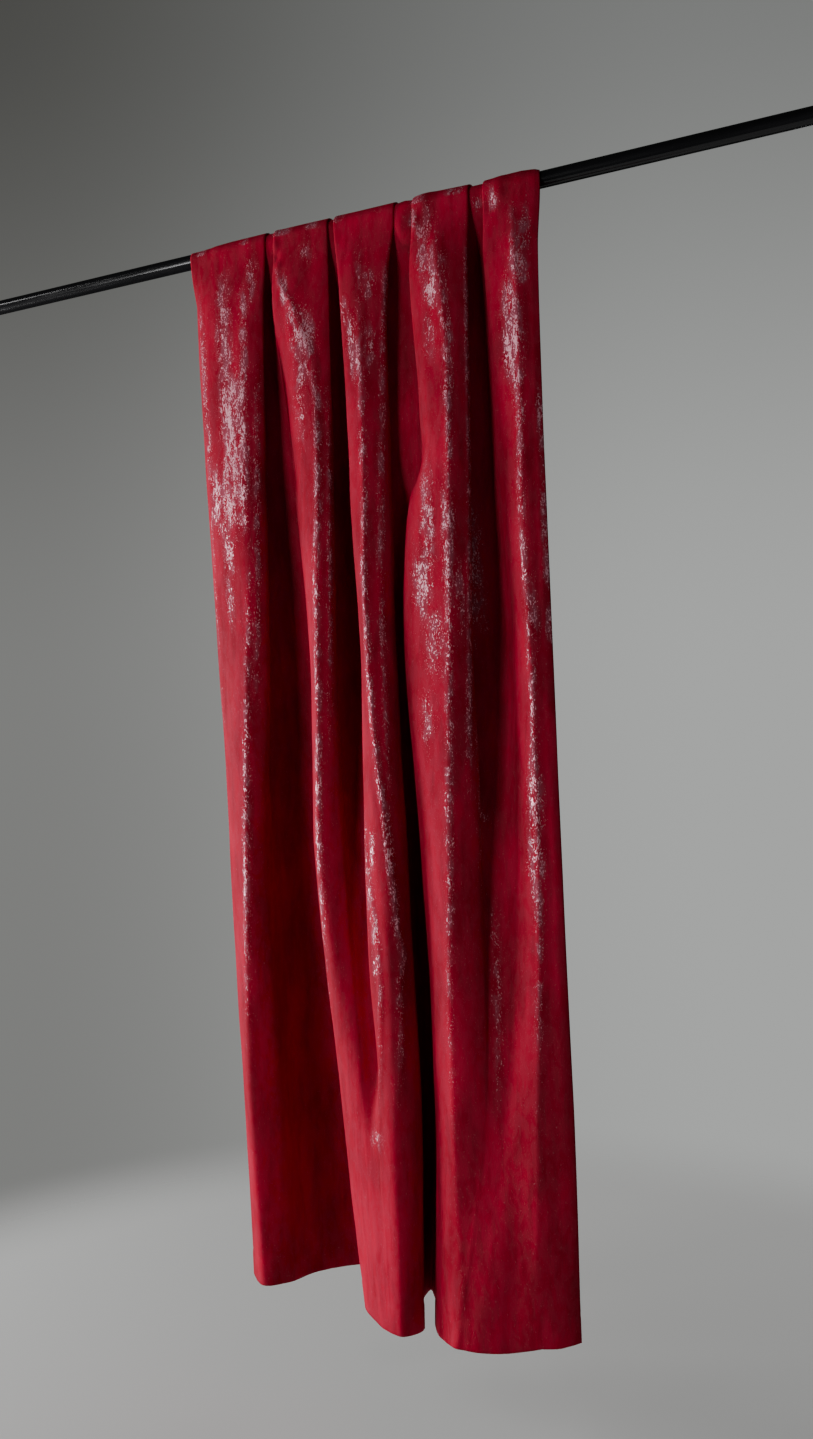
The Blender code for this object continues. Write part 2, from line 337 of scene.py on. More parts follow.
FOURTH_FOLD_CREASES = (
    (
        (15, 164, 7, 0),
        (90, 173, 7, 1.5),
        (176, 182, 7, 2.0),
        (260, 190, 7, 2.2),
        (440, 188, 6, 2.4),
        (590, 186, 6, 2.2),
        (755, 181, 6, 2.2),
        (1000, 174, 6, 2.2),
        (1160, 168, 6, 2),
        (1320, 161, 6, 1.8),
        (1565, 159, 7, 1.8),
        (1745, 160, 7, 1.6),
        (1805, 168, 8, 1.6),
        (1840, 190, 8, 0.8),
    ),
    (
        (10, 223, 4, 0),
        (180, 222, 4, 2),
        (340, 220, 4, 2.2),
        (510, 216, 4, 2.2),
        (675, 212, 4, 2.2),
        (836, 208, 5, 2),
        (930, 205, 5, 1.6),
        (1050, 205, 5, 0),
    ),
)
FOURTH_VALLEY_CREASES = (
    (
        (450, 203, 5, 0),
        (505, 203, 5, 2),
        (640, 201, 5, 2.6),
        (770, 203, 5, 2.6),
        (837, 206, 5, 2.4),
        (903, 212, 5, 2.2),
        (1000, 212, 6, 1.8),
        (1083, 215, 6, 1.2),
        (1180, 218, 6, 0),
    ),
    (
        (1150, 231, 8, 0),
        (1230, 231, 8, 1.5),
        (1320, 232, 8, 2),
        (1420, 233, 8, 2),
        (1530, 231, 8, 1.4),
        (1620, 228, 8, 0),
    ),
)
FIFTH_FOLD_CREASES = (
    (
        (30, 304, 7, 0),
        (57, 306, 7, 1.4),
        (166, 313, 7, 2),
        (264, 315, 7, 2),
        (360, 314, 7, 2.2),
        (586, 311, 7, 2.2),
        (683, 317, 7, 2),
        (810, 323, 7, 2),
        (970, 324, 7, 2.2),
        (1127, 322, 7, 2.2),
        (1284, 317, 7, 2),
        (1410, 312, 7, 1.8),
        (1603, 301, 8, 1.4),
        (1750, 292, 8, 0.8),
        (1850, 286, 8, 0),
    ),
)

# Bulges and hollows (negative) of the front: the crumpled pleats on the rod, the softened left
# edges of the second and fourth folds, the pouch's hollow and the flattened right border.
#   down  across  half_height  half_width  height
FIRST_VALLEY_BULGES = ((14, -168, 22, 7, 3),)
SECOND_FOLD_BULGES = (
    (12, -152, 12, 5, 2.5),
    (34, -150, 9, 6, -2.5),
    (52, -146, 9, 5, 2),
    (260, -145, 110, 18, -5),
    (470, -134, 150, 18, -6),
)
SECOND_VALLEY_BULGES = (
    (1280, -18, 130, 18, -9),
    (1440, -8, 90, 20, -15),
    (1580, 6, 14, 22, 3),
)
THIRD_VALLEY_BULGES = ((34, 99, 32, 12, 14),)
FOURTH_FOLD_BULGES = (
    (0, 140, 26, 16, 2.5),
    (30, 128, 18, 8, 3),
    (450, 110, 60, 20, -9),
)
FIFTH_FOLD_BULGES = (
    (14, 282, 16, 10, 2.5),
    (30, 262, 14, 9, -2.5),
)
RIGHT_BORDER_BULGES = (
    (620, 354, 260, 12, 3),
    (1150, 356, 260, 13, 6),
    (1560, 353, 230, 17, 9),
)

# Places where the foil is still dense on the front, besides the ridges of the creases. They sit
# where the glints fall, so the pale foil there is partly a painted highlight. The pouch is where
# the second and third folds join.
#   down  across  half_height  half_width  amount
FIRST_FOLD_FOIL_AND_HIGHLIGHT = (
    (95, -262, 45, 14, 0.45),
    (150, -262, 60, 14, 0.6),
    (215, -264, 50, 11, 0.5),
    (300, -256, 75, 17, 0.95),
    (385, -254, 70, 15, 1.0),
    (450, -264, 60, 16, 0.8),
    (530, -273, 60, 12, 0.55),
    (630, -278, 45, 9, 0.35),
    (60, -204, 40, 8, 0.55),
    (110, -221, 30, 8, 0.5),
    (210, -220, 80, 7, 0.55),
    (330, -226, 90, 9, 0.85),
    (430, -233, 70, 8, 0.7),
    (450, -299, 45, 12, 0.75),
    (190, -316, 90, 6, 0.4),
    (340, -312, 90, 6, 0.45),
)
SECOND_FOLD_FOIL_AND_HIGHLIGHT = (
    (100, -132, 22, 6, 0.9),
    (150, -110, 26, 15, 0.75),
    (190, -95, 34, 20, 1.0),
    (235, -100, 36, 12, 0.6),
    (315, -108, 50, 11, 0.4),
    (38, -88, 16, 12, 0.25),
)
THIRD_FOLD_FOIL_AND_HIGHLIGHT = (
    (160, -10, 22, 6, 0.6),
    (200, 4, 26, 8, 0.8),
    (235, 12, 34, 11, 1.0),
    (115, 39, 34, 9, 0.45),
    (90, 19, 34, 7, 0.25),
    (225, 37, 34, 10, 0.4),
)
POUCH_FOIL_AND_HIGHLIGHT = (
    (1083, 18, 30, 7, 0.38),
    (1150, 9, 60, 7, 0.4),
    (1235, 20, 50, 8, 0.45),
    (1570, 6, 12, 18, 0.34),
)
FOURTH_FOLD_FOIL_AND_HIGHLIGHT = (
    (22, 125, 14, 6, 0.6),
    (52, 140, 20, 11, 0.5),
    (92, 144, 34, 8, 0.75),
    (40, 152, 34, 8, 0.45),
    (115, 162, 34, 9, 0.6),
    (150, 163, 26, 14, 1.0),
    (170, 184, 60, 7, 0.45),
    (240, 189, 36, 8, 0.75),
    (232, 156, 34, 10, 0.35),
    (480, 143, 34, 11, 0.5),
    (545, 144, 50, 12, 0.65),
    (635, 130, 48, 15, 0.75),
    (740, 155, 50, 20, 0.3),
    (868, 132, 40, 16, 0.25),
    (545, 184, 60, 9, 0.6),
    (620, 182, 50, 9, 0.45),
    (735, 181, 26, 9, 0.35),
    (670, 200, 45, 5, 0.5),
)
FIFTH_FOLD_FOIL_AND_HIGHLIGHT = (
    (20, 245, 10, 8, 0.4),
    (20, 270, 16, 7, 0.8),
    (88, 328, 34, 8, 0.5),
    (140, 318, 34, 13, 0.7),
    (215, 300, 46, 12, 0.7),
    (260, 303, 48, 16, 1.0),
    (315, 309, 44, 10, 0.75),
    (715, 323, 50, 10, 0.45),
    (1000, 321, 60, 12, 0.5),
    (1100, 317, 50, 12, 0.65),
)
RIGHT_BORDER_FOIL_AND_HIGHLIGHT = (
    (380, 346, 28, 5, 0.75),
    (520, 347, 100, 4, 0.5),
    (635, 350, 22, 5, 0.7),
    (725, 352, 25, 5, 0.65),
)
FOIL_AND_HIGHLIGHT_PATCHES = (
    *FIRST_FOLD_FOIL_AND_HIGHLIGHT,
    *SECOND_FOLD_FOIL_AND_HIGHLIGHT,
    *THIRD_FOLD_FOIL_AND_HIGHLIGHT,
    *POUCH_FOIL_AND_HIGHLIGHT,
    *FOURTH_FOLD_FOIL_AND_HIGHLIGHT,
    *FIFTH_FOLD_FOIL_AND_HIGHLIGHT,
    *RIGHT_BORDER_FOIL_AND_HIGHLIGHT,
)

# Guide points at the left and right ends of each fold, valley and the right border, counted along
# the section.
FOLD_ENDS = ((1, 3), (7, 9), (13, 15), (19, 21), (25, 27))
VALLEY_ENDS = ((3, 7), (9, 13), (15, 19), (21, 25))
BORDER_ENDS = (27, 28)

# Ripples: their heights, their lengths across and down, and the depths where they set in.
RIPPLE_HEIGHT, RIPPLE_ACROSS, RIPPLE_DOWN = 2.2, 46, 260
PUCKER_HEIGHT, PUCKER_ACROSS, PUCKER_DOWN = 0.7, 17, 85
RIPPLE_START, RIPPLE_FADE = 20, 90
FRONT_SEED, BACK_SEED, PUCKER_SEED_STEP = 1.7, 41.3, 7

# Creases and bulges: the power of a crease's flanks, and the share where a bulge is left off.
CREASE_POWER, BULGE_CUT = 1.5, 0.02

# Pressed hem and side hem: heights, softness of their edges, and the trough along the stitches.
HEM_HEIGHT, HEM_SOFTNESS = 0.6, 1.5
SIDE_HEM_SHARE, SIDE_HEM_SOFTNESS = 0.6, 1.2
HEM_TROUGH, TROUGH_OFFSET, TROUGH_HALF_WIDTH = 0.7, 2, 4
LARGEST_EXPONENT = 50

# Foil on the ridges of the creases, partly a painted highlight along their crests: a ridge
# FOIL_RIDGE_HEIGHT high keeps all of it. It thins out between the two fade depths.
FOIL_RIDGE_HEIGHT = 5.0
FOIL_FADE_DEPTHS, FOIL_LOW_AMOUNT = (1150, 1550), 0.1
PATCH_TIGHTNESS, PATCH_POWER = 0.8, 1.4
BACK_FOIL, BACK_FOIL_ACROSS, BACK_FOIL_DOWN, BACK_FOIL_SEED = 1.1, 30, 110, 5.3

# Looks of the velvet.
VELVET_DARK = (0.07, 0.0003, 0.003, 1)
VELVET_DEEP, VELVET_BRIGHT = (0.25, 0.0006, 0.015, 1), (0.36, 0.0008, 0.024, 1)
VELVET_ROUGHNESS, VELVET_SPECULAR = 0.7, 0.03
# The foil's pale colour also serves as a painted highlight where the foil mask is dense.
FOIL_AND_HIGHLIGHT_COLOUR, FOIL_METAL, FOIL_ROUGHNESS = (0.64, 0.29, 0.35, 1), 0.5, 0.36
FOIL_START, FOIL_SOFTNESS, THREAD_SLOPE = 1.02, 0.22, -8.0
SMUDGE_COLOUR = (0.25, 0.06, 0.09, 1)
SHEEN_WEIGHT, SHEEN_ROUGHNESS, SHEEN_TINT = 0.22, 0.4, (1.0, 0.02, 0.08, 1)
NAP_FOIL_SHARE, NAP_FINE_SHARE, NAP_DISTANCE, NAP_STRENGTH = 0.5, 0.5, 0.0012, 0.5

# Noises: cells a metre across and down, detail, roughness and distortion.
RUNS_NOISE = ((65, 30), 2.0, 0.55, 0.0)
WINDING_NOISE = ((185, 62), 2.0, 0.55, 0.6)
FINE_NOISE = ((520, 280), 2.0, 0.5, 0.0)
SMUDGE_NOISE = ((72, 36), 3.0, 0.6, 0.6)
STREAK_NOISE = ((48, 9), 3.0, 0.6, 0.5)
TONE_NOISE = ((16, 5), 3.0, 0.5, 0.0)
SCUFF_NOISE = ((7, 90), 3.0, 0.5, 0.0)

# Smooth steps: the value where each starts and ends, and what it gives there.
RUNS_STEP = (0.36, 0.58, 0.4, 1.4)
FINE_STEP = (0.38, 0.6, 0.2, 1.1)
SMUDGE_STEP = (0.36, 0.6, 0.1, 0.75)
SMUDGE_BY_FOIL_STEP = (0.02, 0.45, 0.17, 1.0)
TONE_STEP = (0.35, 0.65, 0.0, 1.0)
STREAK_STEP = (0.34, 0.58, 0.28, 0.0)
SCUFF_ROUGHNESS_STEP = (0.3, 0.7, 0.15, 0.20)

# Looks of the rod.
ROD_DARK, ROD_LIGHT = (0.004, 0.004, 0.0045, 1), (0.009, 0.009, 0.010, 1)
ROD_SPECULAR = 0.35

# Looks of the floor, which fades out between two distances from the middle, and of the world.
FLOOR_SIDES = 96
FLOOR_COLOUR, FLOOR_GLOW = (0.24, 0.24, 0.236, 1), (0.21, 0.212, 0.208, 1)
FLOOR_ROUGHNESS, FLOOR_GLOW_STRENGTH = 0.9, 1.0
FLOOR_FADE_STEP = (1.15, 1.75, 1.0, 0.0)
AMBIENT, AMBIENT_COLOUR = 0.05, (0.33, 0.335, 0.33, 1)
# The backdrop, its light and shade painted in: the direction of its right side, its smooth steps
# across and upwards, and its tones high left, high right, low left and low right.
BACKDROP_RIGHT = (0.885, 0.465, 0.0)
BACKDROP_ACROSS_STEP, BACKDROP_RISE_STEP = (-0.28, 0.22, 0.0, 1.0), (0.5, 0.02, 0.0, 1.0)
BACKDROP_SHADE_TONES = (
    (0.07, 0.07, 0.065, 1),
    (0.19, 0.195, 0.19, 1),
    (0.21, 0.212, 0.205, 1),
    (0.44, 0.45, 0.44, 1),
)
# Name, place, aim, size in metres and power in watts.
LIGHTS = (
    ("key", (-1.85, -2.9, -0.6), (0.15, 0, -1.3), (1.0, 0.9), 55),
    ("side", (-3.7, -0.65, -1.2), (0, 0, -1.25), (1.3, 2.2), 285),
    ("fill", (2.2, -2.0, -1.2), (0.1, 0, -1.2), (1.0, 1.4), 6),
    ("gloss", (-3.05, -2.3, 1.1), (-0.3, 0, -0.3), (0.6, 0.35), 12),
    ("back", (0.9, 3.0, -0.5), (0, 0, -0.7), (1.2, 1.2), 26),
)


def tucked_points(before, floor, after, tuck_left, tuck_right):
    """Wall and floor points of a valley between two fold edges."""
    wall_left = (before[0] - tuck_left, 0.5 * (before[1] + floor[1]))
    wall_right = (after[0] + tuck_right, 0.5 * (after[1] + floor[1]))
    return [wall_left, floor, wall_right]


def hanging_guides(folds, valleys, left_border, right_border, level):
    """Guide points of the section at one depth, from the left border to the right one."""
    guides = [left_border[level][1:]]
    for number, fold in enumerate(folds):
        left, crown, right, left_out, crown_out, right_out = fold[level][1:]
        guides += [(left, left_out), (crown, crown_out), (right, right_out)]
        if number < len(valleys):
            across, out, tuck_left, tuck_right = valleys[number][level][1:]
            following = folds[number + 1][level]
            edge = (following[1], following[4])
            guides += tucked_points((right, right_out), (across, out), edge, tuck_left, tuck_right)
    guides.append(right_border[level][1:])
    return np.array(guides, float)


def step_counts(valley_count):
    """Mesh steps from each guide point to the next."""
    steps = [BORDER_STEPS, LEFT_FACE_STEPS, RIGHT_FACE_STEPS]
    for _ in range(valley_count):
        steps += [WALL_STEPS, FLOOR_STEPS, FLOOR_STEPS, WALL_STEPS]
        steps += [LEFT_FACE_STEPS, RIGHT_FACE_STEPS]
    return steps + [BORDER_STEPS]


def curve_through(guides, steps):
    """A smooth curve through the guide points, sampled evenly between each two."""
    padded = np.vstack([2 * guides[0] - guides[1], guides, 2 * guides[-1] - guides[-2]])
    gaps = np.sqrt(np.maximum(np.linalg.norm(np.diff(padded, axis=0), axis=1), 0.01))
    knots = np.concatenate([[0], np.cumsum(gaps)])
    sampled = []
    for k, count in enumerate(steps):
        p0, p1, p2, p3 = padded[k : k + 4]
        k0, k1, k2, k3 = knots[k : k + 4]
        m1 = (k2 - k1) * ((p1 - p0) / (k1 - k0) - (p2 - p0) / (k2 - k0) + (p2 - p1) / (k2 - k1))
        m2 = (k2 - k1) * ((p2 - p1) / (k2 - k1) - (p3 - p1) / (k3 - k1) + (p3 - p2) / (k3 - k2))
        t = (np.arange(count) / count)[:, None]
        sampled.append(
            (2 * t**3 - 3 * t**2 + 1) * p1
            + (t**3 - 2 * t**2 + t) * m1
            + (3 * t**2 - 2 * t**3) * p2
            + (t**3 - t**2) * m2
        )
    return np.vstack([*sampled, guides[-1:]])


def half_turn(tip, low, high, side):
    """Points of a half turn of the cloth: side is 1 where it bulges to the right."""
    turn = np.linspace(-math.pi / 2, math.pi / 2, BEND_POINTS)
    height = low + (high - low) * (np.sin(turn) + 1) / 2
    return np.stack([tip - side * BEND_REACH * (1 - np.cos(turn)), height], 1)


def halves(turn):
    """The points up to the middle one of a half turn, and the points from it on."""
    points = [tuple(point) for point in turn]
    middle = BEND_POINTS // 2
    return points[: middle + 1], points[middle:]


def halfway(first, second):
    return (0.5 * (first[0] + second[0]), 0.5 * (first[1] + second[1]))


def rod_lines(folds, valleys, left_border, right_border):
    """Lines of the section on the rod, one from each guide point to the next."""
    lines = [[(left_border[0][1], 0.0)]]
    for number, fold in enumerate(folds):
        left, crown, right, left_out, crown_out, right_out = fold[0][1:]
        top, right_edge = (crown, crown_out), (right, right_out)
        if number == 0:
            edge = (left + FIRST_EDGE_REACH, FIRST_EDGE_HEIGHT)
            shoulder = (0.5 * (left + crown), crown_out * FIRST_SHOULDER_SHARE)
            lines[-1].append((left, 0.0))
            lines.append([(left, 0.0), edge, shoulder, top])
        else:
            before, after = halves(half_turn(left, LAYER_PITCH, left_out, -1))
            lines[-1] += before
            lines.append([*after, halfway((left, left_out), top), top])
        if number == len(valleys):
            border = right_border[0][1:]
            lines.append([top, (0.5 * (crown + right), crown_out), right_edge])
            lines.append([right_edge, (0.5 * (right + border[0]), LAST_EDGE_HEIGHT), border])
            break
        across, out, tuck_left, tuck_right = valleys[number][0][1:]
        tip_left, tip_right = right - tuck_left, folds[number + 1][0][1] + tuck_right
        before, after = halves(half_turn(right, LAYER_PITCH, right_out, 1)[::-1])
        lines.append([top, halfway(top, right_edge), *before])
        under_before, under_after = halves(half_turn(tip_left, out, LAYER_PITCH, -1)[::-1])
        lines += [after + under_before, [*under_after, (across, out)]]
        over_before, over_after = halves(half_turn(tip_right, out, LAYER_PITCH, 1))
        lines += [[(across, out), *over_before], over_after]
    return lines


def rod_section(folds, valleys, left_border, right_border, steps):
    """The section where the pleats lie flat on the rod, with the same steps as curve_through."""
    section = []
    for line, count in zip(rod_lines(folds, valleys, left_border, right_border), steps):
        line = np.array(line, float)
        gaps = np.linalg.norm(np.diff(line, axis=0), axis=1)
        # Square roots give the bends more of the steps than their length alone would.
        weights = np.cumsum(np.concatenate([[0], np.sqrt(gaps)]))
        at = np.arange(count) / count * weights[-1]
        section.append(np.stack([np.interp(at, weights, line[:, k]) for k in range(2)], 1))
    section.append(np.array([right_border[0][1:]], float))
    return np.vstack(section)


def between_levels(levels, sections, down):
    """The section at one depth, eased from the sections given above and below it."""
    last = len(levels) - 1
    k = min(int(np.searchsorted(levels, down, side="right")) - 1, last - 1)
    height = levels[k + 1] - levels[k]
    t = (down - levels[k]) / height

    def slope(at):
        if at == 0:
            return np.zeros_like(sections[0])
        if at == last:
            return (sections[at] - sections[at - 1]) / (levels[at] - levels[at - 1])
        return (sections[at + 1] - sections[at - 1]) / (levels[at + 1] - levels[at - 1])

    return (
        (2 * t**3 - 3 * t**2 + 1) * sections[k]
        + (t**3 - 2 * t**2 + t) * height * slope(k)
        + (3 * t**2 - 2 * t**3) * sections[k + 1]
        + (t**3 - t**2) * height * slope(k + 1)
    )


def panel_rows(folds, valleys, left_border, right_border, downs, side):
    """Rows of points down one side of the drape. side is -1 for the front and 1 for the back."""
    seat = ROD_RADIUS + ROD_CLEARANCE + SHEET_THICKNESS / 2
    steps = step_counts(len(valleys))
    on_rod = rod_section(folds, valleys, left_border, right_border, steps) + np.array([0, seat])
    levels = [row[0] for row in left_border]
    sections = [on_rod] + [
        curve_through(hanging_guides(folds, valleys, left_border, right_border, level), steps)
        for level in range(1, len(levels))
    ]
    rise = np.interp(sections[-1][:, 0], *np.transpose(HEM_RISE)) if side < 0 else 0.0
    rows = []
    for down in downs:
        flat = between_levels(levels, sections, down)
        height = rise * (down / levels[-1]) ** 2 - down
        rows.append(np.stack([flat[:, 0], side * flat[:, 1], height + 0 * flat[:, 0]], 1))
    return np.array(rows)


def over_rod(back, front, share):
    """One row of points on the way over the rod, where share runs from 0 at the back to 1."""
    turn = math.pi * share
    drift = math.sin(turn / 2)
    radius = back[:, 1] + (-front[:, 1] - back[:, 1]) * share
    return np.stack(
        [
            back[:, 0] + (front[:, 0] - back[:, 0]) * drift,
            radius * math.cos(turn),
            radius * math.sin(turn),
        ],
        1,
    )


def front_depths():
    """Depths of the front rows: close together at the rod and at the hem."""
    hem_top = FRONT_DROP - HEM_ROWS_REACH * HEM_DEPTH
    top = np.linspace(0, TOP_DEPTH, TOP_ROWS, endpoint=False)
    middle = np.linspace(TOP_DEPTH, hem_top, MIDDLE_ROWS, endpoint=False)
    return np.concatenate([top, middle, np.linspace(hem_top, FRONT_DROP, HEM_ROWS + 1)])


def arc_lengths(rows):
    """Distance along each row from its first point."""
    gaps = np.linalg.norm(np.diff(rows, axis=1), axis=2)
    return np.concatenate([np.zeros((len(rows), 1)), np.cumsum(gaps, axis=1)], 1)


def outward(rows, side):
    """Unit normals of each row in its own level plane, pointing away from the rod."""
    along = np.gradient(rows[:, :, :2], axis=1)
    normal = np.stack([along[:, :, 1], -along[:, :, 0]], -1) * side
    return normal / np.maximum(np.linalg.norm(normal, axis=2, keepdims=True), 1e-6)


def section_place(row, arcs, first, last, across):
    """Distance along one row where it comes nearest to "across", between two of its points."""
    gap = row[first:last, 0] - across
    nearest = int(np.argmin(np.abs(gap)))
    low, high = max(nearest - 1, 0), min(nearest + 1, last - first - 1)
    xs, places = row[first + low : first + high + 1, 0], arcs[first + low : first + high + 1]
    order = np.argsort(xs)
    return float(np.interp(across, xs[order], places[order]))


def raise_crease(lift, foil_and_highlight, rows, arcs, downs, ends, crease):
    """Adds one crease to the heights in lift, and the foil on its ridge, a painted highlight along
    the crest, to the foil mask.
    """
    table = np.array(crease, float)
    for number, down in enumerate(downs):
        if not table[0, 0] < down < table[-1, 0]:
            continue
        across, half_width, height = (np.interp(down, table[:, 0], table[:, k]) for k in (1, 2, 3))
        place = section_place(rows[number], arcs[number], *ends, across)
        apart = np.abs(arcs[number] - place) / half_width
        lift[number] += height * np.exp(-(apart**CREASE_POWER))
        ridge = min(height / FOIL_RIDGE_HEIGHT, 1.0) * np.exp(-(apart**2))
        foil_and_highlight[number] = np.maximum(foil_and_highlight[number], ridge)


def raise_bulge(lift, rows, arcs, downs, ends, bulge):
    """Adds one small bulge to the heights in lift."""
    middle, across, half_height, half_width, height = bulge
    for number, down in enumerate(downs):
        fade = math.exp(-(((down - middle) / half_height) ** 2))
        if fade > BULGE_CUT:
            place = section_place(rows[number], arcs[number], *ends, across)
            lift[number] += height * fade * np.exp(-(((arcs[number] - place) / half_width) ** 2))


def spread_foil_and_highlights(foil_and_highlight, rows, downs):
    """Thins the foil out towards the hem, and adds its dense patches, which are partly painted
    highlights.
    """
    downs = np.asarray(downs)[:, None]
    foil_and_highlight *= np.interp(downs, FOIL_FADE_DEPTHS, (1.0, FOIL_LOW_AMOUNT))
    for down, across, half_height, half_width, amount in FOIL_AND_HIGHLIGHT_PATCHES:
        up, side = (downs - down) / half_height, (rows[:, :, 0] - across) / half_width
        patch = amount * np.exp(-((PATCH_TIGHTNESS * (up**2 + side**2)) ** PATCH_POWER))
        np.maximum(foil_and_highlight, patch, out=foil_and_highlight)


def scattered_foil(rows):
    """Loose patches of foil on the back and over the rod."""
    foil_and_highlight = np.zeros(rows.shape[:2])
    for place in np.ndindex(foil_and_highlight.shape):
        across, _, height = rows[place]
        cell = Vector((across / BACK_FOIL_ACROSS, height / BACK_FOIL_DOWN, BACK_FOIL_SEED))
        foil_and_highlight[place] = max(BACK_FOIL * noise.noise(cell), 0)
    return foil_and_highlight


def ripples(arcs, downs, seed):
    """Long uneven ripples down the cloth, fading out on the rod."""
    height = np.zeros(arcs.shape)
    for number, down in enumerate(downs):
        fade = min(max((down - RIPPLE_START) / RIPPLE_FADE, 0), 1)
        for k, across in enumerate(arcs[number]):
            ripple = Vector((across / RIPPLE_ACROSS, down / RIPPLE_DOWN, seed))
            pucker = Vector((across / PUCKER_ACROSS, down / PUCKER_DOWN, seed + PUCKER_SEED_STEP))
            broad, fine = noise.noise(ripple), noise.noise(pucker)
            height[number, k] = fade * (RIPPLE_HEIGHT * broad + PUCKER_HEIGHT * fine)
    return height


def turned_in(distance, width, softness):
    """1 within the width of a turned hem and 0 beyond it, with a soft step between."""
    return 1 / (1 + np.exp(np.minimum((distance - width) / softness, LARGEST_EXPONENT)))


def press_hem(lift, arcs, downs):
    """Thickens the turned-up hem and side hem, with a shallow trough along the hem's stitches."""
    from_hem = FRONT_DROP - np.asarray(downs)[:, None]
    from_side = arcs[:, -1:] - arcs
    turned = turned_in(from_hem, HEM_DEPTH, HEM_SOFTNESS)
    side_turned = turned_in(from_side, SIDE_HEM_WIDTH, SIDE_HEM_SOFTNESS)
    trough = np.exp(-(((from_hem - HEM_DEPTH - TROUGH_OFFSET) / TROUGH_HALF_WIDTH) ** 2))
    lift += HEM_HEIGHT * turned - HEM_TROUGH * trough + SIDE_HEM_SHARE * HEM_HEIGHT * side_turned


def sheet_points():
    """Rows of the sheet, up the back, over the rod and down the front, and the foil on them,
    partly painted highlight.
    """
    downs = front_depths()
    back_downs = BACK_DROP * np.linspace(0, 1, BACK_ROWS + 1) ** BACK_ROW_GROWTH
    folds = (FIRST_FOLD, SECOND_FOLD, THIRD_FOLD, FOURTH_FOLD, FIFTH_FOLD)
    valleys = (FIRST_VALLEY, SECOND_VALLEY, THIRD_VALLEY, FOURTH_VALLEY)
    front = panel_rows(folds, valleys, LEFT_BORDER, RIGHT_BORDER, downs, -1)
    back = panel_rows(BACK_FOLDS, BACK_VALLEYS, BACK_LEFT_BORDER, BACK_RIGHT_BORDER, back_downs, 1)
    columns = np.concatenate([[0], np.cumsum(step_counts(len(valleys)))])

    arcs = arc_lengths(front)
    foil_and_highlight = np.zeros(arcs.shape)
    lift = ripples(arcs, downs, FRONT_SEED)
    press_hem(lift, arcs, downs)
    creased = (
        (FOLD_ENDS[0], FIRST_FOLD_CREASES),
        (FOLD_ENDS[1], SECOND_FOLD_CREASES),
        (FOLD_ENDS[2], THIRD_FOLD_CREASES),
        (FOLD_ENDS[3], FOURTH_FOLD_CREASES),
        (VALLEY_ENDS[3], FOURTH_VALLEY_CREASES),
        (FOLD_ENDS[4], FIFTH_FOLD_CREASES),
    )
    for ends, creases in creased:
        for crease in creases:
            raise_crease(lift, foil_and_highlight, front, arcs, downs, columns[list(ends)], crease)
    spread_foil_and_highlights(foil_and_highlight, front, downs)
    bulged = (
        (VALLEY_ENDS[0], FIRST_VALLEY_BULGES),
        (FOLD_ENDS[1], SECOND_FOLD_BULGES),
        (VALLEY_ENDS[1], SECOND_VALLEY_BULGES),
        (VALLEY_ENDS[2], THIRD_VALLEY_BULGES),
        (FOLD_ENDS[3], FOURTH_FOLD_BULGES),
        (FOLD_ENDS[4], FIFTH_FOLD_BULGES),
        (BORDER_ENDS, RIGHT_BORDER_BULGES),
    )
    for ends, bulges in bulged:
        for bulge in bulges:
            raise_bulge(lift, front, arcs, downs, columns[list(ends)], bulge)
    front[:, :, :2] += outward(front, 1) * lift[:, :, None]

    back_arcs = arc_lengths(back)
    back_lift = ripples(back_arcs, back_downs, BACK_SEED)
    back[:, :, :2] += outward(back, -1) * back_lift[:, :, None]
    over = [over_rod(back[0], front[0], step / ARC_ROWS) for step in range(1, ARC_ROWS)]
    behind = np.concatenate([back[::-1], over])
    return np.concatenate([behind, front]), np.concatenate([scattered_foil(behind), foil_and_highlight])


def cloth_mesh(points, foil_and_highlight):
    """The sheet's mesh, with its coordinates on the flat cloth in metres and its foil, partly
    painted highlight.
    """
    rows, columns = points.shape[:2]
    mesh = bpy.data.meshes.new("velvet_drape")
    index = np.arange(rows * columns).reshape(rows, columns)
    quads = np.stack([index[:-1, :-1], index[1:, :-1], index[1:, 1:], index[:-1, 1:]], -1)
    quads = quads.reshape(-1, 4)
    mesh.from_pydata((points.reshape(-1, 3) * MM).tolist(), [], quads.tolist())
    across = arc_lengths(points)
    across = across / across[:, -1:] * FLAT_WIDTH
    steps = np.linalg.norm(np.diff(points, axis=0), axis=2)
    along = np.concatenate([np.zeros((1, columns)), np.cumsum(steps, axis=0)], 0) * MM
    coords = np.stack([across.reshape(-1), along.reshape(-1)], 1)[quads.reshape(-1)]
    layer = mesh.uv_layers.new(name="cloth")
    layer.data.foreach_set("uv", coords.astype(np.float32).reshape(-1))
    amount = mesh.attributes.new("foil_and_highlight", "FLOAT", "POINT")
    amount.data.foreach_set("value", foil_and_highlight.astype(np.float32).reshape(-1))
    for polygon in mesh.polygons:
        polygon.use_smooth = True
    return mesh


def make_drape():
    """The sheet with its thickness and its velvet."""
    mesh = cloth_mesh(*sheet_points())
    drape = bpy.data.objects.new("velvet_drape", mesh)
    bpy.context.scene.collection.objects.link(drape)
    shell = drape.modifiers.new("thickness", "SOLIDIFY")
    shell.thickness = SHEET_THICKNESS * MM
    shell.offset = 0.0
    mesh.materials.append(velvet_material())
    return drape


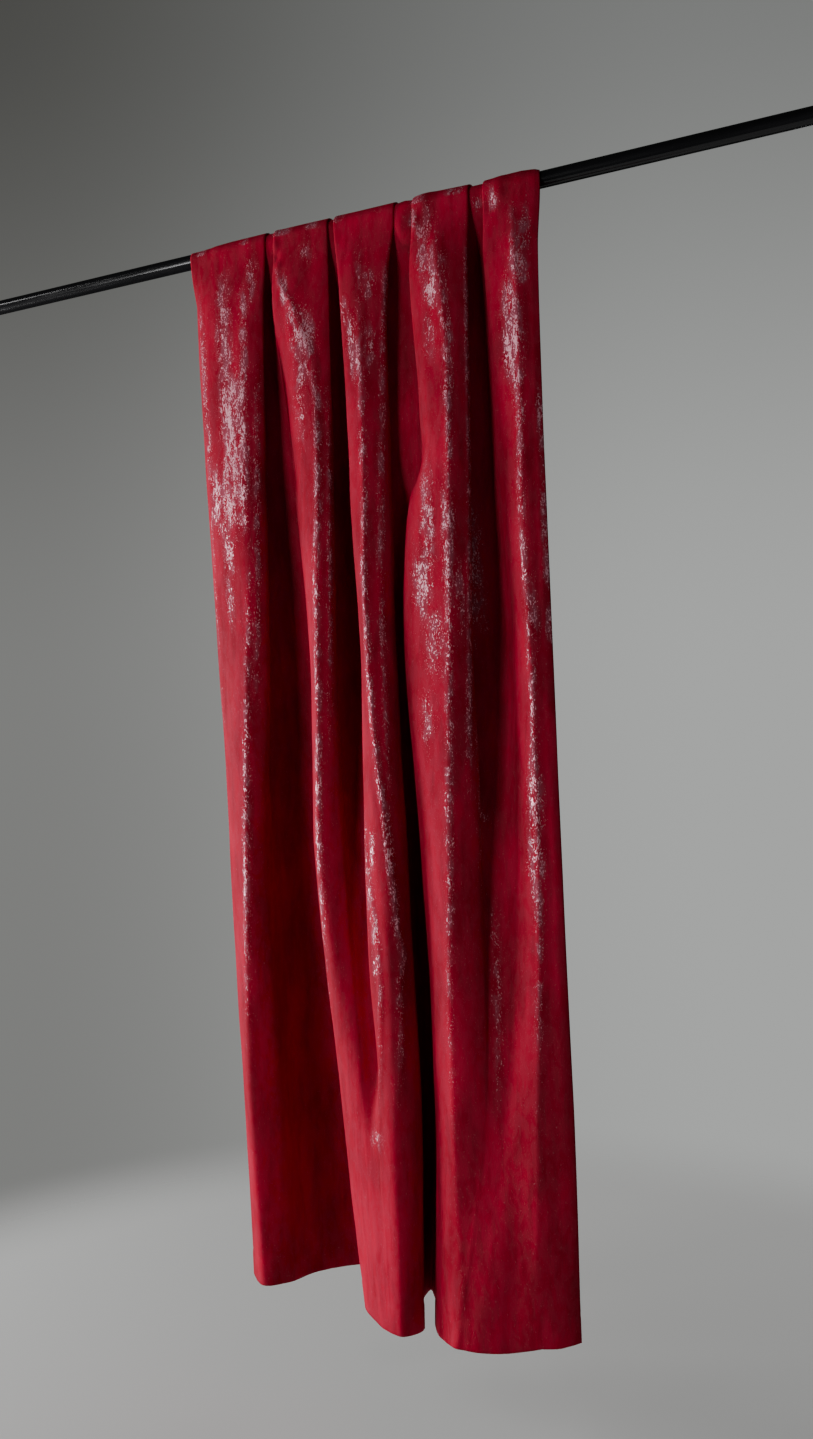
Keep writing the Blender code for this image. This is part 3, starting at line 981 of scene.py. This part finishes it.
class Nodes:
    """A short way to add nodes to a material or world and join them."""

    def __init__(self, owner):
        owner.use_nodes = True
        self.tree = owner.node_tree

    def put(self, socket, value):
        if isinstance(value, bpy.types.NodeSocket):
            self.tree.links.new(value, socket)
        else:
            socket.default_value = value

    def add(self, kind, inputs=(), **settings):
        node = self.tree.nodes.new("ShaderNode" + kind)
        for key, value in settings.items():
            setattr(node, key, value)
        for key, value in dict(inputs).items():
            self.put(node.inputs[key], value)
        return node

    def noise(self, place, scale, detail, roughness, distortion):
        """Noise between 0 and 1, with scale as cells per metre across and downwards."""
        mapped = self.add("Mapping", {0: place, 3: (scale[0], scale[0], scale[1])}).outputs[0]
        inputs = {
            "Vector": mapped,
            "Scale": 1.0,
            "Detail": detail,
            "Roughness": roughness,
            "Distortion": distortion,
        }
        return self.add("TexNoise", inputs).outputs[0]

    def maths(self, operation, *values):
        return self.add("Math", enumerate(values), operation=operation).outputs[0]

    def step(self, value, low, high, out_low, out_high):
        """A smooth step from out_low to out_high as the value goes from low to high."""
        inputs = {"Value": value, 1: low, 2: high, 3: out_low, 4: out_high}
        return self.add("MapRange", inputs, interpolation_type="SMOOTHSTEP").outputs[0]

    def blend(self, share, first, second):
        node = self.add("Mix", data_type="RGBA")
        self.put(node.inputs["Factor"], share)
        self.put(node.inputs[6], first)
        self.put(node.inputs[7], second)
        return node.outputs[2]

    def shade(self, values):
        """Puts values by name on the material's own shader."""
        shader = self.tree.nodes["Principled BSDF"]
        for name, value in values.items():
            self.put(shader.inputs[name], value)


def velvet_material():
    """Deep red velvet with a worn pinkish foil, partly a painted highlight, which breaks into
    grains and dull smudges.
    """
    material = bpy.data.materials.new("foiled_velvet")
    n = Nodes(material)
    place = n.add("TexCoord").outputs["Object"]
    # The foil amount is partly a painted highlight: dense on the crests and where glints fall.
    amount = n.add("Attribute", attribute_name="foil_and_highlight").outputs["Fac"]
    fine = n.noise(place, *FINE_NOISE)

    # The foil holds along winding threads, more of them where its amount is high.
    runs = n.step(n.noise(place, *RUNS_NOISE), *RUNS_STEP)
    amount = n.maths("MULTIPLY", amount, runs)
    winding = n.noise(place, *WINDING_NOISE)
    off_line = n.maths("ABSOLUTE", n.maths("SUBTRACT", winding, 0.5))
    threads = n.maths("MULTIPLY_ADD", off_line, THREAD_SLOPE, n.step(fine, *FINE_STEP))
    cover = n.maths("ADD", amount, threads)
    foil_and_highlight = n.step(cover, FOIL_START, FOIL_START + FOIL_SOFTNESS, 0.0, 1.0)

    # Dull smudges lie between the threads, and fainter ones all over.
    smudges = n.step(n.noise(place, *SMUDGE_NOISE), *SMUDGE_STEP)
    dull = n.maths("MULTIPLY", smudges, n.step(amount, *SMUDGE_BY_FOIL_STEP))

    tone = n.step(n.noise(place, *TONE_NOISE), *TONE_STEP)
    streaks = n.step(n.noise(place, *STREAK_NOISE), *STREAK_STEP)
    red = n.blend(tone, VELVET_DEEP, VELVET_BRIGHT)
    red = n.blend(streaks, red, VELVET_DARK)
    red = n.blend(dull, red, SMUDGE_COLOUR)

    grain = n.maths("MULTIPLY", fine, NAP_FINE_SHARE)
    height = n.maths("MULTIPLY_ADD", foil_and_highlight, NAP_FOIL_SHARE, grain)
    nap = n.add("Bump", {"Height": height, "Distance": NAP_DISTANCE, "Strength": NAP_STRENGTH})
    # The pale foil colour in the base colour paints highlights where the foil mask is dense.
    n.shade(
        {
            "Base Color": n.blend(foil_and_highlight, red, FOIL_AND_HIGHLIGHT_COLOUR),
            "Metallic": n.maths("MULTIPLY", foil_and_highlight, FOIL_METAL),
            "Roughness": n.step(foil_and_highlight, 0.0, 1.0, VELVET_ROUGHNESS, FOIL_ROUGHNESS),
            "Specular IOR Level": VELVET_SPECULAR,
            "Sheen Weight": SHEEN_WEIGHT,
            "Sheen Roughness": SHEEN_ROUGHNESS,
            "Sheen Tint": SHEEN_TINT,
            "Normal": nap.outputs[0],
        }
    )
    return material


def rod_material():
    """Black painted tube: a satin gloss with faint scuffs along it."""
    material = bpy.data.materials.new("black_rod_finish")
    n = Nodes(material)
    scuffs = n.noise(n.add("TexCoord").outputs["Object"], *SCUFF_NOISE)
    n.shade(
        {
            "Base Color": n.blend(scuffs, ROD_DARK, ROD_LIGHT),
            "Roughness": n.step(scuffs, *SCUFF_ROUGHNESS_STEP),
            "Specular IOR Level": ROD_SPECULAR,
        }
    )
    return material


def make_camera():
    data = bpy.data.cameras.new("camera")
    camera = bpy.data.objects.new("camera", data)
    bpy.context.scene.collection.objects.link(camera)
    data.sensor_fit = "AUTO"
    data.sensor_width = SENSOR_LONG_SIDE_MM
    data.lens = FOCAL_PIXELS / IMAGE_LONG_SIDE * SENSOR_LONG_SIDE_MM
    yaw, pitch, roll = (math.radians(v) for v in (CAMERA_YAW, CAMERA_PITCH, CAMERA_ROLL))
    camera.matrix_world = (
        Matrix.Translation(Vector(CAMERA_PLACE))
        @ Matrix.Rotation(yaw, 4, "Z")
        @ Matrix.Rotation(math.pi / 2 + pitch, 4, "X")
        @ Matrix.Rotation(roll, 4, "Z")
    )
    data.clip_start, data.clip_end = CLIP_START, CLIP_END
    bpy.context.scene.camera = camera


def make_light(name, place, target, size, power):
    data = bpy.data.lights.new(name, "AREA")
    data.shape = "RECTANGLE"
    data.size, data.size_y = size
    data.energy = power
    light = bpy.data.objects.new(name, data)
    bpy.context.scene.collection.objects.link(light)
    light.location = place
    light.rotation_mode = "QUATERNION"
    light.rotation_quaternion = (Vector(target) - Vector(place)).to_track_quat("-Z", "Y")
    light.visible_camera = False


def floor_material():
    """A pale matt grey that fades out all round."""
    material = bpy.data.materials.new("pale_floor")
    n = Nodes(material)
    place = n.add("TexCoord").outputs["Object"]
    flat = n.add("Mapping", {0: place, 3: (1.0, 1.0, 0.0)}).outputs[0]
    reach = n.add("VectorMath", {0: flat}, operation="LENGTH").outputs["Value"]
    n.shade(
        {
            "Base Color": FLOOR_COLOUR,
            "Roughness": FLOOR_ROUGHNESS,
            "Emission Color": FLOOR_GLOW,
            "Emission Strength": FLOOR_GLOW_STRENGTH,
            "Alpha": n.step(reach, *FLOOR_FADE_STEP),
        }
    )
    return material


def make_floor():
    """A pale round floor under the drape, whose edge fades softly into the backdrop's grey."""
    turns = [2 * math.pi * k / FLOOR_SIDES for k in range(FLOOR_SIDES)]
    ring = [(FLOOR_RADIUS * math.cos(t), FLOOR_RADIUS * math.sin(t), FLOOR_Z) for t in turns]
    mesh = bpy.data.meshes.new("floor")
    mesh.from_pydata(ring, [], [tuple(range(FLOOR_SIDES))])
    mesh.materials.append(floor_material())
    floor = bpy.data.objects.new("floor", mesh)
    bpy.context.scene.collection.objects.link(floor)


def make_world():
    """A soft grey studio backdrop with painted shade, darker high up and to the left, and a dimmer
    light from it.
    """
    world = bpy.data.worlds.new("studio")
    bpy.context.scene.world = world
    n = Nodes(world)
    direction = n.add("TexCoord").outputs["Generated"]
    side = n.add("VectorMath", {0: direction, 1: BACKDROP_RIGHT}, operation="DOT_PRODUCT")
    rise = n.add("SeparateXYZ", {0: direction}).outputs[2]
    across = n.step(side.outputs["Value"], *BACKDROP_ACROSS_STEP)
    high_left, high_right, low_left, low_right = BACKDROP_SHADE_TONES
    high = n.blend(across, high_left, high_right)
    low = n.blend(across, low_left, low_right)
    seen = n.tree.nodes["Background"]
    n.put(seen.inputs["Color"], n.blend(n.step(rise, *BACKDROP_RISE_STEP), high, low))
    dim = n.add("Background", {"Color": AMBIENT_COLOUR, "Strength": AMBIENT})
    camera_ray = n.add("LightPath").outputs["Is Camera Ray"]
    mix = n.add("MixShader", {0: camera_ray, 1: dim.outputs[0], 2: seen.outputs[0]})
    n.put(n.tree.nodes["World Output"].inputs["Surface"], mix.outputs[0])


def main():
    make_camera()
    make_floor()
    make_world()
    for light in LIGHTS:
        make_light(*light)
    drape = make_drape()
    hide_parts("drape")
    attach(drape, "root")
    finish = rod_material()
    for slot in bpy.data.objects["rod"].material_slots:
        slot.material = finish


main()
